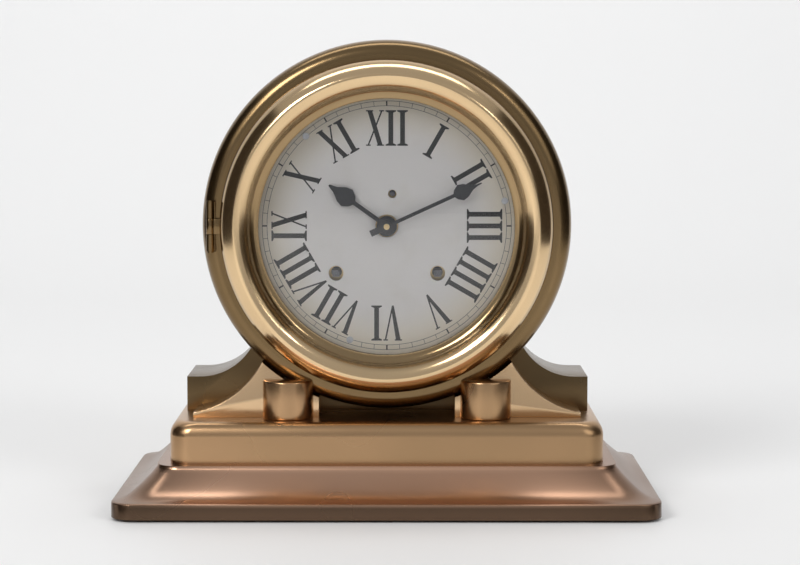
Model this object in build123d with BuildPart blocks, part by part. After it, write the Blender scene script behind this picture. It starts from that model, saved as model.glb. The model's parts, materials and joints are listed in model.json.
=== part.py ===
"""A ship's bell mantel clock: a round brass case on a stepped metal base, with an eight day
movement, a striking bell and a hinged glazed bezel. Millimetres, +Z up, the dial faces -Y,
and the origin is the middle of the underside."""

import math
import os

from build123d import *

# base
felt_t = 1.2  # baize under the plinth
felt_inset = 6.0  # from the plinth's edge to the baize
plinth_w = 244.0
plinth_d = 140.0
plinth_fillet_h = 6.3  # plain band round the foot of the plinth
plinth_mould_h = 14.5  # ogee above that band
plinth_mould_run = 20.0  # how far the ogee steps in
step_gap = 4.0  # ledge between the ogee and the upper step
step_band_h = 12.0  # plain band of the upper step
step_ovolo_h = 6.5  # rounded top edge of the upper step
step_ovolo_run = 4.5
corner_r = 9.0  # upright corners of plinth and step
base_wall = 5.0

# case
case_r = 84.0
case_clear = 3.5  # under the case, over the step
dial_z_over_step = case_r + case_clear  # dial centre over the top of the step
case_wall = 3.5
case_front_y = -30.0
case_back_y = 38.0
case_round = 8.5  # rounded front shoulder
case_shoulder = 6.5  # how far that shoulder reaches in
case_swell = -2.1  # and how far it stands out from a straight chamfer
case_face_r = case_r - case_shoulder  # edge of the flat that the bezel closes on
case_mouth_r = case_r - 22.0
case_face_t = 4.5
ledge_in_r = case_mouth_r - 4.4
ledge_t = 3.2
back_bead = 3.0
cover_t = 2.0
cover_dish = 3.0
cover_screws = 6
cover_screw_r = 1.5

# cradle
end_block_h = 15.5
end_block_land = 6.0  # flat top of each end block
shoulder_r = 34.0  # hollow of each shoulder
shoulder_top_x = case_r * 0.74  # half width where the shoulder meets the case
shoulder_rise = 18.5  # from the end block's top to there
saddle_back_y = 38.0
saddle_front_y = -4.0
ramp_front_y = -28.0
ramp_inset = 5.0  # the front ramps end this far short of the end blocks
ramp_r = 46.0
ramp_lip = 2.0
corbel_x = 45.0
corbel_r = 11.5
corbel_h = 17.5
notch_half_w = 31.0  # open arch between the corbels
saddle_web = 3.2  # metal left under the case
seat_gap = 0.3  # between the case and what it lies in

# bezel
bezel_gap = 0.3  # between the bezel and the case face
bezel_r = case_face_r - 2.5
bezel_crown_r = bezel_r - 6.5
bezel_inner_r = bezel_r - 12.5  # foot of the crown, on the glass side
bezel_lip_r = bezel_r - 17.5
bezel_h = 16.0
glass_t = 2.2
glass_rise = 3.2  # the glass is domed by this much
glass_over_lip = 3.0
hinge_pin_r = 0.8
hinge_len = 22.0
hinge_leaf_t = 1.8
knuckle_r = 1.9
hinge_out = 2.1  # pin centre outside the edge of the case's flat
hinge_ahead = 2.2  # and ahead of that flat
hinge_sink = 1.3  # the fixed leaf lies in a pocket this deep
hinge_leaf_w = 3.6

# dial and hands
dial_r = case_mouth_r - 0.6
dial_t = 1.2
dial_front_y = -27.0
dial_hole_r = 5.2
winding_r_out = 31.5  # winding squares from the dial centre
winding_angle = 43.0  # below the horizontal
winding_hole_r = 3.4
regulator_x = 2.5
regulator_z = 14.5
regulator_hole_r = 1.9
dial_screw_at_r = dial_r - 6.9
minute_len = 47.0
hour_len = 32.0
hand_t = 0.7
hour_y = -29.6  # front of the hour hand
minute_y = -31.4
time_hour = 10
time_minute = 10.9

# movement
front_plate_r = case_mouth_r - 1.0
plate_t = 2.5
plate_front_y = -19.0
plate_gap = 25.0
back_plate_r = ledge_in_r - 1.0
pillar_r = 2.5
pillar_at_r = back_plate_r - 4.1
pivot_r = 0.9
fit_gap = 0.05  # all round pivots, pins and screws in their holes
arbor_r = 1.3
tooth_play = 0.10  # backlash on the pitch circle
barrel_r = 20.0
barrel_wall = 1.2
ratchet_teeth = 20
ratchet_r = 9.0
ratchet_t = 1.6
square_w = 3.2  # winding square across the flats
bell_r = 31.0
bell_depth = 17.0
bell_t = 1.8
bell_rim_y = 14.0
hammer_head_r = 4.0
balance_r = 9.0
winding_arbor_r = 2.4
plate_screw_r = 1.2
ledge_screw_at_r = case_mouth_r - 2.6
dial_screw_r = 1.0
barrel_len = 11.0
wheel_t = 1.8
thin_wheel_t = 1.2
pinion_t = 2.2
ratchet_gap = 2.0  # ratchet wheels this far behind the front plate
click_drop = 13.5  # click studs below the winding arbors
click_len = 6.4
click_turn = 38.0
click_stud_r = 1.1
pin_circle_r = 12.0
pin_r = 0.6
pin_len = 2.6
minute_wheel_t = 1.2
cannon_r = 2.3
hour_pipe_r = 3.2
bell_hole_r = 1.4
escape_r = 5.6
fly_w = 11.0
fly_h = 9.0
fly_t = 0.8

# places worked out from the sizes above
plinth_z = felt_t
mould_z = plinth_z + plinth_fillet_h
plinth_top_z = mould_z + plinth_mould_h
step_w = plinth_w - 2 * (plinth_mould_run + step_gap)
step_d = plinth_d - 2 * (plinth_mould_run + step_gap)
step_band_z = plinth_top_z + step_band_h
step_top_z = step_band_z + step_ovolo_h
cradle_half_w = step_w / 2 - step_ovolo_run
block_top_z = step_top_z + end_block_h
dial_z = step_top_z + dial_z_over_step
centre = (0.0, dial_z)
case_axis = Axis((0, 0, dial_z), (0, 1, 0))
bezel_back_y = case_front_y - bezel_gap
bezel_front_y = bezel_back_y - bezel_h
plate_back_y = plate_front_y + plate_t
back_plate_y = plate_back_y + plate_gap
back_plate_end_y = back_plate_y + plate_t
dial_back_y = dial_front_y + dial_t
hinge_x = -(case_face_r + hinge_out)
hinge_y = case_front_y - hinge_ahead
leaf_x = hinge_x + 0.3
bell_back_y = bell_rim_y + bell_depth
barrel_back_y = 4.5
barrel_front_y = barrel_back_y - barrel_len
ratchet_back_y = plate_back_y + ratchet_gap + ratchet_t
centre_wheel_y = -12.4
second_y = -9.4
pin_wheel_y = -9.8
third_y = 1.0
fourth_y = -3.0
escape_y = 4.0
balance_y = 7.0
fly_y = 3.0
minute_back_y = plate_front_y - 0.8
hour_back_y = minute_back_y - minute_wheel_t - 0.5
hammer_y = back_plate_end_y + 7.0
minute_front_y = minute_y
bell_post_at = centre
os.makedirs("parts", exist_ok=True)


def at_y(y, x=0.0, z=0.0):
    """A sketch plane at depth y: its x is +X, its y is +Z, and it extrudes towards the front."""
    return Plane(origin=(x, y, z), x_dir=(1, 0, 0), z_dir=(0, -1, 0))


def turned(x, z):
    """A half plane for profiles turned about a line along Y at x, z: points are (radius, y)."""
    return Plane(origin=(x, 0, z), x_dir=(1, 0, 0), z_dir=(0, 0, 1))


def polar(centre_xz, radius, degrees):
    return (
        centre_xz[0] + radius * math.cos(math.radians(degrees)),
        centre_xz[1] + radius * math.sin(math.radians(degrees)),
    )


def towards(a, b):
    """The direction from a to b, in degrees."""
    return math.degrees(math.atan2(b[1] - a[1], b[0] - a[0]))


def meeting(a, reach_a, b, reach_b):
    """The point at reach_a from a and reach_b from b, on the left of the line from a to b."""
    apart = math.dist(a, b)
    along = (reach_a**2 - reach_b**2 + apart**2) / (2 * apart)
    off = math.sqrt(reach_a**2 - along**2)
    return polar(polar(a, along, towards(a, b)), off, towards(a, b) + 90)


def write(part, label):
    part.label = label
    export_step(part, f"parts/{label}.step")


# wheels and pinions

addendum = 0.75  # of a module
dedendum = 0.95
pressure_angle = 27.0


def teeth(count, module, tooth_at):
    """The outline of a wheel with a tooth pointing at tooth_at degrees. The flanks are straight
    chords of the involute."""
    pitch_r = count * module / 2
    base_r = pitch_r * math.cos(math.radians(pressure_angle))
    tip_r = pitch_r + addendum * module
    root_r = pitch_r - dedendum * module

    def half_angle(radius):
        def involute(r):
            turn = math.acos(min(1.0, base_r / r))
            return math.tan(turn) - turn

        at_pitch = math.pi / (2 * count) - tooth_play / (4 * pitch_r)
        return at_pitch + involute(pitch_r) - involute(max(radius, base_r))

    tip, root = half_angle(tip_r), half_angle(max(root_r, base_r))
    points = []
    for tooth in range(count):
        middle = math.radians(tooth_at) + 2 * math.pi * tooth / count
        for radius, turn in ((root_r, -root), (tip_r, -tip), (tip_r, tip), (root_r, root)):
            points.append((radius * math.cos(middle + turn), radius * math.sin(middle + turn)))
    return points


def saw_teeth(count, outer_r, depth, lean):
    """A ratchet or escape wheel's outline: each tooth has one steep and one long flank."""
    points = []
    for tooth in range(count):
        start = 2 * math.pi * tooth / count
        points.append((outer_r * math.cos(start), outer_r * math.sin(start)))
        low = start + lean * 2 * math.pi / count
        points.append(((outer_r - depth) * math.cos(low), (outer_r - depth) * math.sin(low)))
    return points


def arbor_solid(at, wheel=None, pinion=None, spokes=0):
    """An arbor between the plates, with its pivots, its wheel and its pinion. A wheel or a pinion
    is (teeth, module, back y, thickness, direction of one tooth)."""
    with BuildPart() as arbor:
        with BuildSketch(at_y(back_plate_y - 0.3, *at)):
            Circle(arbor_r)
        extrude(amount=plate_gap - 0.6)
        with BuildSketch(at_y(back_plate_y + plate_t * 0.8, *at)):
            Circle(pivot_r)
        extrude(amount=plate_gap + plate_t * 1.6)
        for part in (wheel, pinion):
            if part:
                count, module, back_y, thick, tooth_at = part
                with BuildSketch(at_y(back_y, *at)):
                    with BuildLine():
                        Polyline(*teeth(count, module, tooth_at), close=True)
                    make_face()
                extrude(amount=thick)
        if wheel and spokes:
            count, module, back_y, thick, tooth_at = wheel
            root_r = (count / 2 - dedendum) * module
            hub_r = root_r * 0.3
            rim_r = root_r - 1.6
            with BuildSketch(at_y(back_y, *at)):
                Circle(rim_r)
                Circle(hub_r, mode=Mode.SUBTRACT)
                with PolarLocations(0, spokes):
                    Rectangle(2 * rim_r, 1.4, align=(Align.MIN, Align.CENTER), mode=Mode.SUBTRACT)
            extrude(amount=thick, mode=Mode.SUBTRACT)
    return arbor.part


def pitch_r(count, module):
    return count * module / 2


# base


def rounded_loft(sections):
    """Lofts rounded rectangles given as (z, width, depth)."""
    with BuildPart() as lofted:
        for z, width, depth in sections:
            with BuildSketch(Plane.XY.offset(z)):
                RectangleRounded(width, depth, corner_r)
        loft(ruled=True)
    return lofted.part


ogee = [(0.0, 0.0), (0.12, 0.03), (0.42, 0.22), (0.70, 0.58), (0.90, 0.88), (1.0, 1.0)]
# shares of the run and of the height: round over the foot, then hollow under the step

with BuildPart() as plinth:
    with BuildSketch(Plane.XY.offset(plinth_z)):
        RectangleRounded(plinth_w, plinth_d, corner_r)
    extrude(amount=plinth_fillet_h)
    add(
        rounded_loft(
            [
                (
                    mould_z + rise * plinth_mould_h,
                    plinth_w - 2 * run * plinth_mould_run,
                    plinth_d - 2 * run * plinth_mould_run,
                )
                for run, rise in ogee
            ]
        )
    )
    with BuildSketch(Plane.XY.offset(plinth_z)):
        RectangleRounded(
            step_w - 2 * base_wall, step_d - 2 * base_wall, corner_r - base_wall / 2
        )
    extrude(amount=plinth_top_z - plinth_z - base_wall, mode=Mode.SUBTRACT)
    bolt_x = cradle_half_w - 2.6 * base_wall
    bolt_y = 12.0
    saddle_y = (saddle_front_y + saddle_back_y) / 2
    bolts_at = [(x, saddle_y + y) for x in (-bolt_x, bolt_x) for y in (-bolt_y, bolt_y)]
    bolt_r = 2.5
    bolt_hole_r = bolt_r + 0.3
    with BuildSketch(Plane.XY.offset(plinth_top_z)):
        with Locations(*bolts_at):
            Circle(bolt_hole_r)
    extrude(amount=-base_wall, mode=Mode.SUBTRACT)
write(plinth.part, "plinth")

with BuildPart() as felt:
    with BuildSketch(Plane.XY):
        RectangleRounded(plinth_w - 2 * felt_inset, plinth_d - 2 * felt_inset, corner_r)
    extrude(amount=felt_t)
write(felt.part, "felt_pad")

with BuildPart() as step:
    with BuildSketch(Plane.XY.offset(plinth_top_z)):
        RectangleRounded(step_w, step_d, corner_r)
    extrude(amount=step_band_h)
    quarter = [(1 - math.cos(math.radians(a)), math.sin(math.radians(a))) for a in (0, 30, 60, 90)]
    add(
        rounded_loft(
            [
                (
                    step_band_z + rise * step_ovolo_h,
                    step_w - 2 * run * step_ovolo_run,
                    step_d - 2 * run * step_ovolo_run,
                )
                for run, rise in quarter
            ]
        )
    )
    with BuildSketch(Plane.XY.offset(plinth_top_z)):
        RectangleRounded(
            step_w - 2 * base_wall, step_d - 2 * base_wall, corner_r - base_wall / 2
        )
    extrude(amount=step_top_z - plinth_top_z - base_wall, mode=Mode.SUBTRACT)
    case_bolt_y = (saddle_front_y + 6.0, saddle_back_y - 12.0)
    with BuildSketch(Plane.XY.offset(step_top_z)):
        with Locations(*bolts_at):
            Circle(bolt_hole_r)
        with Locations(*((0, y) for y in case_bolt_y)):
            Circle(bolt_hole_r)
    extrude(amount=-base_wall, mode=Mode.SUBTRACT)
write(step.part, "upper_step")

with BuildPart() as cradle:
    with BuildSketch(at_y(saddle_back_y)):
        with BuildLine():
            land_x = cradle_half_w - end_block_land
            shoulder_z = block_top_z + shoulder_rise
            Polyline(
                (land_x, block_top_z),
                (cradle_half_w, block_top_z),
                (cradle_half_w, step_top_z),
                (0, step_top_z),
                (0, shoulder_z),
                (shoulder_top_x, shoulder_z),
            )
            RadiusArc((shoulder_top_x, shoulder_z), (land_x, block_top_z), -shoulder_r)
        make_face()
        mirror(about=Plane.YZ)
    extrude(amount=saddle_back_y - saddle_front_y)
    with BuildSketch(at_y(saddle_front_y)):
        with BuildLine():
            ramp_x = cradle_half_w - ramp_inset
            ramp_top_z = block_top_z + shoulder_rise * 0.55
            ramp_top_x = corbel_x + corbel_r
            Polyline(
                (ramp_x, step_top_z + ramp_lip),
                (ramp_x, step_top_z),
                (0, step_top_z),
                (0, ramp_top_z),
                (ramp_top_x, ramp_top_z),
            )
            RadiusArc((ramp_top_x, ramp_top_z), (ramp_x, step_top_z + ramp_lip), -ramp_r)
        make_face()
        mirror(about=Plane.YZ)
    extrude(amount=saddle_front_y - ramp_front_y)
    with BuildSketch(Plane.XY.offset(step_top_z)):
        with Locations((corbel_x, ramp_front_y), (-corbel_x, ramp_front_y)):
            Circle(corbel_r)
    extrude(amount=corbel_h)
    with BuildSketch(at_y(saddle_front_y, 0, step_top_z)):
        Rectangle(2 * notch_half_w, case_r, align=(Align.CENTER, Align.MIN))
    extrude(amount=saddle_front_y - ramp_front_y + corbel_r, mode=Mode.SUBTRACT)
    with BuildSketch(at_y(saddle_back_y, *centre)):
        Circle(case_r + seat_gap)
    extrude(amount=saddle_back_y - case_front_y, mode=Mode.SUBTRACT)
    with BuildSketch(Plane.XY.offset(step_top_z)):
        with Locations(*bolts_at):
            Circle(bolt_r + fit_gap)
    extrude(amount=end_block_h - 3, mode=Mode.SUBTRACT)
    with BuildSketch(Plane.XY.offset(step_top_z)):
        with Locations(*((0, y) for y in case_bolt_y)):
            Circle(bolt_hole_r)
    extrude(amount=2 * saddle_web, mode=Mode.SUBTRACT)
write(cradle.part, "cradle")

with BuildPart() as base_bolts:
    head_h = 3.5
    with BuildSketch(Plane.XY.offset(plinth_top_z - base_wall)):
        with Locations(*bolts_at):
            RegularPolygon(bolt_r * 1.9, 6)
    extrude(amount=-head_h)
    with BuildSketch(Plane.XY.offset(plinth_top_z - base_wall)):
        with Locations(*bolts_at):
            Circle(bolt_r)
    extrude(amount=step_top_z + end_block_h - 4 - plinth_top_z + base_wall)
write(base_bolts.part, "base_bolts")

with BuildPart() as case_bolts:
    case_bottom_z = dial_z - case_r
    with BuildSketch(Plane.XY.offset(step_top_z - base_wall)):
        with Locations(*((0, y) for y in case_bolt_y)):
            RegularPolygon(bolt_r * 1.9, 6)
    extrude(amount=-head_h)
    with BuildSketch(Plane.XY.offset(step_top_z - base_wall)):
        with Locations(*((0, y) for y in case_bolt_y)):
            Circle(bolt_r)
    extrude(amount=case_bottom_z + case_wall + 4 - step_top_z + base_wall)
write(case_bolts.part, "case_bolts")

# case

with BuildPart() as case:
    inner_r = case_r - case_wall
    ledge_back_y = plate_back_y + ledge_t
    with BuildSketch(turned(*centre)):
        with BuildLine():
            Polyline(
                (case_mouth_r, case_front_y),
                (case_face_r, case_front_y),
            )
            SagittaArc((case_face_r, case_front_y), (case_r, case_front_y + case_round), case_swell)
            Polyline(
                (case_r, case_front_y + case_round),
                (case_r, case_back_y),
                (inner_r - back_bead, case_back_y),
                (inner_r - back_bead, case_back_y - back_bead),
                (inner_r, case_back_y - back_bead),
                (inner_r, case_front_y + case_face_t),
                (case_mouth_r + case_wall, case_front_y + case_face_t),
                (case_mouth_r + case_wall, ledge_back_y),
                (ledge_in_r, ledge_back_y),
                (ledge_in_r, plate_back_y),
                (case_mouth_r, plate_back_y),
                (case_mouth_r, case_front_y),
            )
        make_face()
    revolve(axis=case_axis)
    with BuildSketch(Plane.XY.offset(case_bottom_z - 1)):
        with Locations(*((0, y) for y in case_bolt_y)):
            Circle(bolt_r + fit_gap)
    extrude(amount=case_wall + 2, mode=Mode.SUBTRACT)
    with BuildSketch(at_y(case_back_y, *centre)):
        with PolarLocations(inner_r - back_bead / 2, cover_screws):
            Circle(cover_screw_r + fit_gap)
    extrude(amount=back_bead, mode=Mode.SUBTRACT)
    with BuildSketch(at_y(ledge_back_y, *centre)):
        with PolarLocations(ledge_screw_at_r, 3, 30):
            Circle(plate_screw_r + fit_gap)
    extrude(amount=ledge_t, mode=Mode.SUBTRACT)
    with BuildSketch(at_y(case_front_y + hinge_sink, leaf_x, dial_z)):
        Rectangle(hinge_leaf_w + 2 * fit_gap, hinge_len + 2 * fit_gap)
    extrude(amount=2 * hinge_sink, mode=Mode.SUBTRACT)
write(case.part, "case_drum")

with BuildPart() as cover:
    with BuildSketch(turned(*centre)):
        with BuildLine():
            edge_r = inner_r + 1.5
            dish_r = inner_r - 2 * back_bead
            Polyline(
                (0, case_back_y + cover_dish),
                (dish_r - cover_dish, case_back_y + cover_dish),
                (dish_r, case_back_y),
                (edge_r, case_back_y),
                (edge_r, case_back_y + cover_t),
                (dish_r + 1, case_back_y + cover_t),
                (dish_r - cover_dish + 1, case_back_y + cover_dish + cover_t),
                (0, case_back_y + cover_dish + cover_t),
                close=True,
            )
        make_face()
    revolve(axis=case_axis)
    with BuildSketch(at_y(case_back_y + cover_t, *centre)):
        with PolarLocations(inner_r - back_bead / 2, cover_screws):
            Circle(cover_screw_r + 0.2)
    extrude(amount=cover_t, mode=Mode.SUBTRACT)
write(cover.part, "back_cover")

with BuildPart() as cover_pins:
    with BuildSketch(at_y(case_back_y + cover_t, *centre)):
        with PolarLocations(inner_r - back_bead / 2, cover_screws):
            Circle(cover_screw_r)
    extrude(amount=cover_t + back_bead)
    with BuildSketch(at_y(case_back_y + cover_t + 1.4, *centre)):
        with PolarLocations(inner_r - back_bead / 2, cover_screws):
            Circle(cover_screw_r + 1.1)
    extrude(amount=1.4)
write(cover_pins.part, "cover_screws")

# bezel, glass, hinge and catch

with BuildPart() as bezel:
    seat_r = bezel_lip_r + glass_over_lip
    rebate_r = bezel_inner_r + 0.8
    lip_front_y = bezel_front_y + 6.5
    glass_front_y = lip_front_y + 2.0
    glass_back_y = glass_front_y + glass_t
    rebate_y = bezel_back_y - 1.5
    with BuildSketch(turned(*centre)):
        with BuildLine():
            Polyline((rebate_r, bezel_back_y), (bezel_r, bezel_back_y), (bezel_r, bezel_back_y - 2.5))
            SagittaArc((bezel_r, bezel_back_y - 2.5), (bezel_crown_r, bezel_front_y), 2.3)
            SagittaArc((bezel_crown_r, bezel_front_y), (bezel_inner_r, bezel_front_y + 3.0), 0.9)
            Line((bezel_inner_r, bezel_front_y + 3.0), (bezel_inner_r - 0.6, bezel_front_y + 3.6))
            SagittaArc((bezel_inner_r - 0.6, bezel_front_y + 3.6), (bezel_lip_r, lip_front_y), -0.9)
            Polyline(
                (bezel_lip_r, lip_front_y),
                (bezel_lip_r, glass_front_y),
                (seat_r, glass_front_y),
                (seat_r, rebate_y),
                (rebate_r, rebate_y),
                (rebate_r, bezel_back_y),
            )
        make_face()
    revolve(axis=case_axis)
    leaf_half = hinge_len / 6 - 0.2
    with BuildSketch(at_y(hinge_y + hinge_leaf_t / 2, hinge_x, dial_z)):
        Rectangle(-hinge_x - bezel_r + 2.0, 2 * leaf_half, align=(Align.MIN, Align.CENTER))
    extrude(amount=hinge_leaf_t)
    with BuildSketch(Plane.XY.offset(dial_z - leaf_half)):
        with Locations((hinge_x, hinge_y)):
            Circle(knuckle_r)
    extrude(amount=2 * leaf_half)
    with BuildSketch(Plane.XY.offset(dial_z - hinge_len / 2)):
        with Locations((hinge_x, hinge_y)):
            Circle(hinge_pin_r + fit_gap)
    extrude(amount=hinge_len, mode=Mode.SUBTRACT)
write(bezel.part, "bezel")

with BuildPart() as fixed_leaf:
    with BuildSketch(at_y(case_front_y + hinge_sink, leaf_x, dial_z)):
        Rectangle(hinge_leaf_w, hinge_len)
    extrude(amount=hinge_sink + hinge_ahead)
    with BuildSketch(Plane.XY.offset(dial_z - hinge_len / 2)):
        with Locations((hinge_x, hinge_y)):
            Circle(knuckle_r)
    extrude(amount=hinge_len)
    with BuildSketch(at_y(hinge_y + knuckle_r + 0.2, hinge_x, dial_z)):
        Rectangle(4 * knuckle_r, hinge_len / 3)
    extrude(amount=3 * knuckle_r, mode=Mode.SUBTRACT)
    with BuildSketch(Plane.XY.offset(dial_z - hinge_len)):
        with Locations((hinge_x, hinge_y)):
            Circle(hinge_pin_r + fit_gap)
    extrude(amount=2 * hinge_len, mode=Mode.SUBTRACT)
write(fixed_leaf.part, "hinge_leaf")

with BuildPart() as hinge_pin:
    with BuildSketch(Plane.XY.offset(dial_z - hinge_len / 2 - 0.8)):
        with Locations((hinge_x, hinge_y)):
            Circle(hinge_pin_r)
    extrude(amount=hinge_len + 1.6)
    for head_z in (dial_z - hinge_len / 2 - 0.8, dial_z + hinge_len / 2):
        with BuildSketch(Plane.XY.offset(head_z)):
            with Locations((hinge_x, hinge_y)):
                Circle(knuckle_r - 0.4)
        extrude(amount=0.8)
write(hinge_pin.part, "hinge_pin")

with BuildPart() as glass:
    glass_r = seat_r - 0.1
    dome_r = bezel_lip_r - 0.5
    with BuildSketch(turned(*centre)):
        with BuildLine():
            dome = [(dome_r * share, glass_rise * (1 - share**2)) for share in (1, 0.75, 0.5, 0.25, 0)]
            Polyline(
                (glass_r, glass_front_y),
                (glass_r, glass_back_y),
                *((r, glass_back_y - rise) for r, rise in dome),
                *((r, glass_front_y - rise) for r, rise in reversed(dome)),
                close=True,
            )
        make_face()
    revolve(axis=case_axis)
write(glass.part, "glass")

with BuildPart() as glass_ring:
    with BuildSketch(turned(*centre)):
        with BuildLine():
            Polyline(
                (bezel_lip_r, glass_back_y),
                (seat_r - fit_gap, glass_back_y),
                (seat_r - fit_gap, rebate_y),
                (bezel_lip_r + 0.8, rebate_y),
                close=True,
            )
        make_face()
    revolve(axis=case_axis)
write(glass_ring.part, "glass_ring")

# where the movement's arbors stand, seen from the front

strike_at = polar(centre, winding_r_out, 180 + winding_angle)
time_at = polar(centre, winding_r_out, -winding_angle)
great, great_pinion = (48, 1.0), (10, 1.0)
second, centre_pinion = (40, 0.9), (8, 0.9)
centre_wheel, third_pinion = (64, 0.5), (8, 0.5)
third, fourth_pinion = (60, 0.5), (8, 0.5)
fourth, escape_pinion = (64, 0.45), (8, 0.45)
pin_wheel, fly_pinion = (40, 0.75), (8, 0.75)
motion_reach = 15.6  # cannon pinion to minute wheel
cannon_pinion, minute_gear = (12, motion_reach * 2 / 48), (36, motion_reach * 2 / 48)
minute_pinion, hour_gear = (10, motion_reach * 2 / 50), (40, motion_reach * 2 / 50)


def reach(wheel, pinion):
    """The distance between the arbors of a wheel and a pinion."""
    return pitch_r(*wheel) + pitch_r(*pinion)


second_at = meeting(
    centre, reach(second, centre_pinion), time_at, reach(great, great_pinion)
)
pins_at = meeting(strike_at, reach(great, great_pinion), centre, reach(second, centre_pinion))
third_at = polar(centre, reach(centre_wheel, third_pinion), 90)
fourth_at = polar(third_at, reach(third, fourth_pinion), 45)
escape_at = polar(fourth_at, reach(fourth, escape_pinion), 120)
lever_at = polar(escape_at, 8.6, 185)
balance_at = polar(lever_at, 12.0, 205)
fly_at = polar(pins_at, reach(pin_wheel, fly_pinion), 160)
hammer_at = (-42.0, dial_z - 2.0)
minute_at = polar(centre, motion_reach, 160)
regulator_at = (regulator_x, dial_z + regulator_z)
tail_dir = (pins_at[0] - hammer_at[0], 0, pins_at[1] - hammer_at[1])
hammer_head_at = polar(centre, bell_r + hammer_head_r + 0.4, 152)
arm_dir = (hammer_head_at[0] - hammer_at[0], 0, hammer_head_at[1] - hammer_at[1])
pillars = [polar(centre, pillar_at_r, angle) for angle in (0, 90, 180, 270)]
small_pivots = (second_at, third_at, fourth_at, escape_at, lever_at, balance_at, pins_at, fly_at)

# plates, pillars and dial

with BuildPart() as front_plate:
    with BuildSketch(at_y(plate_back_y)):
        with Locations(centre):
            Circle(front_plate_r)
        with Locations(*small_pivots, hammer_at, regulator_at):
            Circle(pivot_r + fit_gap, mode=Mode.SUBTRACT)
        with Locations(centre):
            Circle(arbor_r + fit_gap, mode=Mode.SUBTRACT)
        with Locations(time_at, strike_at):
            Circle(winding_arbor_r + fit_gap, mode=Mode.SUBTRACT)
        with Locations(*pillars):
            Circle(plate_screw_r + fit_gap, mode=Mode.SUBTRACT)
        with Locations(centre):
            with PolarLocations(ledge_screw_at_r, 3, 30):
                Circle(plate_screw_r + fit_gap, mode=Mode.SUBTRACT)
    extrude(amount=plate_t)
    with BuildSketch(at_y(plate_front_y, *minute_at)):
        Circle(arbor_r)
    extrude(amount=6.2)
write(front_plate.part, "front_plate")

with BuildPart() as back_plate:
    with BuildSketch(at_y(back_plate_end_y)):
        with Locations(centre):
            Circle(back_plate_r)
        with Locations(*small_pivots, centre):
            Circle(pivot_r + fit_gap, mode=Mode.SUBTRACT)
        with Locations(hammer_at):
            Circle(arbor_r + fit_gap, mode=Mode.SUBTRACT)
        with Locations(time_at, strike_at):
            Circle(winding_arbor_r + fit_gap, mode=Mode.SUBTRACT)
        with Locations(*pillars, bell_post_at):
            Circle(plate_screw_r + fit_gap, mode=Mode.SUBTRACT)
    extrude(amount=plate_t)
write(back_plate.part, "back_plate")

with BuildPart() as pillar_set:
    with BuildSketch(at_y(back_plate_y)):
        with Locations(*pillars):
            Circle(pillar_r)
            Circle(plate_screw_r + fit_gap, mode=Mode.SUBTRACT)
    extrude(amount=plate_gap)
write(pillar_set.part, "pillars")

with BuildPart() as plate_screws:
    for head_y, face_y, way in ((plate_front_y, plate_front_y, 1), (back_plate_end_y, back_plate_end_y, -1)):
        with BuildSketch(at_y(head_y)):
            with Locations(*pillars):
                Circle(plate_screw_r + 1.0)
        extrude(amount=way * 1.5)
        with BuildSketch(at_y(face_y)):
            with Locations(*pillars):
                Circle(plate_screw_r)
        extrude(amount=-way * (plate_t + 6))
write(plate_screws.part, "plate_screws")

with BuildPart() as ledge_screws:
    with BuildSketch(at_y(plate_front_y, *centre)):
        with PolarLocations(ledge_screw_at_r, 3, 30):
            Circle(plate_screw_r + 0.4)
    extrude(amount=1.2)
    with BuildSketch(at_y(plate_front_y, *centre)):
        with PolarLocations(ledge_screw_at_r, 3, 30):
            Circle(plate_screw_r)
    extrude(amount=-plate_t - ledge_t - 1)
write(ledge_screws.part, "ledge_screws")

with BuildPart() as dial:
    with BuildSketch(at_y(dial_back_y)):
        with Locations(centre):
            Circle(dial_r)
            Circle(dial_hole_r, mode=Mode.SUBTRACT)
        with Locations(time_at, strike_at):
            Circle(winding_hole_r, mode=Mode.SUBTRACT)
        with Locations(regulator_at):
            Circle(regulator_hole_r, mode=Mode.SUBTRACT)
        with Locations(centre):
            with PolarLocations(dial_screw_at_r, 3, 132):
                Circle(dial_screw_r + fit_gap, mode=Mode.SUBTRACT)
    extrude(amount=dial_t)
write(dial.part, "dial")

with BuildPart() as dial_feet:
    with BuildSketch(at_y(plate_front_y, *centre)):
        with PolarLocations(dial_screw_at_r, 3, 132):
            Circle(dial_screw_r + 1.2)
            Circle(dial_screw_r + fit_gap, mode=Mode.SUBTRACT)
    extrude(amount=plate_front_y - dial_back_y)
write(dial_feet.part, "dial_feet")

with BuildPart() as dial_screws:
    with BuildSketch(at_y(dial_front_y, *centre)):
        with PolarLocations(dial_screw_at_r, 3, 132):
            Circle(dial_screw_r + 0.5)
    extrude(amount=0.5)
    with BuildSketch(at_y(dial_front_y, *centre)):
        with PolarLocations(dial_screw_at_r, 3, 132):
            Circle(dial_screw_r)
    extrude(amount=-5)
write(dial_screws.part, "dial_screws")

# going and striking trains, levels counted from the back plate forwards


def barrel(at, great_back_y, label):
    """A spring barrel open to the front, with its great wheel."""
    with BuildPart() as drum:
        with BuildSketch(at_y(barrel_back_y, *at)):
            Circle(barrel_r)
        extrude(amount=barrel_len)
        with BuildSketch(at_y(barrel_back_y - barrel_wall, *at)):
            Circle(barrel_r - barrel_wall)
        extrude(amount=barrel_len, mode=Mode.SUBTRACT)
        with BuildSketch(at_y(great_back_y, *at)):
            with BuildLine():
                Polyline(*teeth(*great, towards(at, meshes_with[label])), close=True)
            make_face()
            Circle(barrel_r - barrel_wall, mode=Mode.SUBTRACT)
        extrude(amount=wheel_t)
        with BuildSketch(at_y(barrel_back_y, *at)):
            Circle(winding_arbor_r + fit_gap)
        extrude(amount=barrel_len, mode=Mode.SUBTRACT)
    write(drum.part, label)


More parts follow.
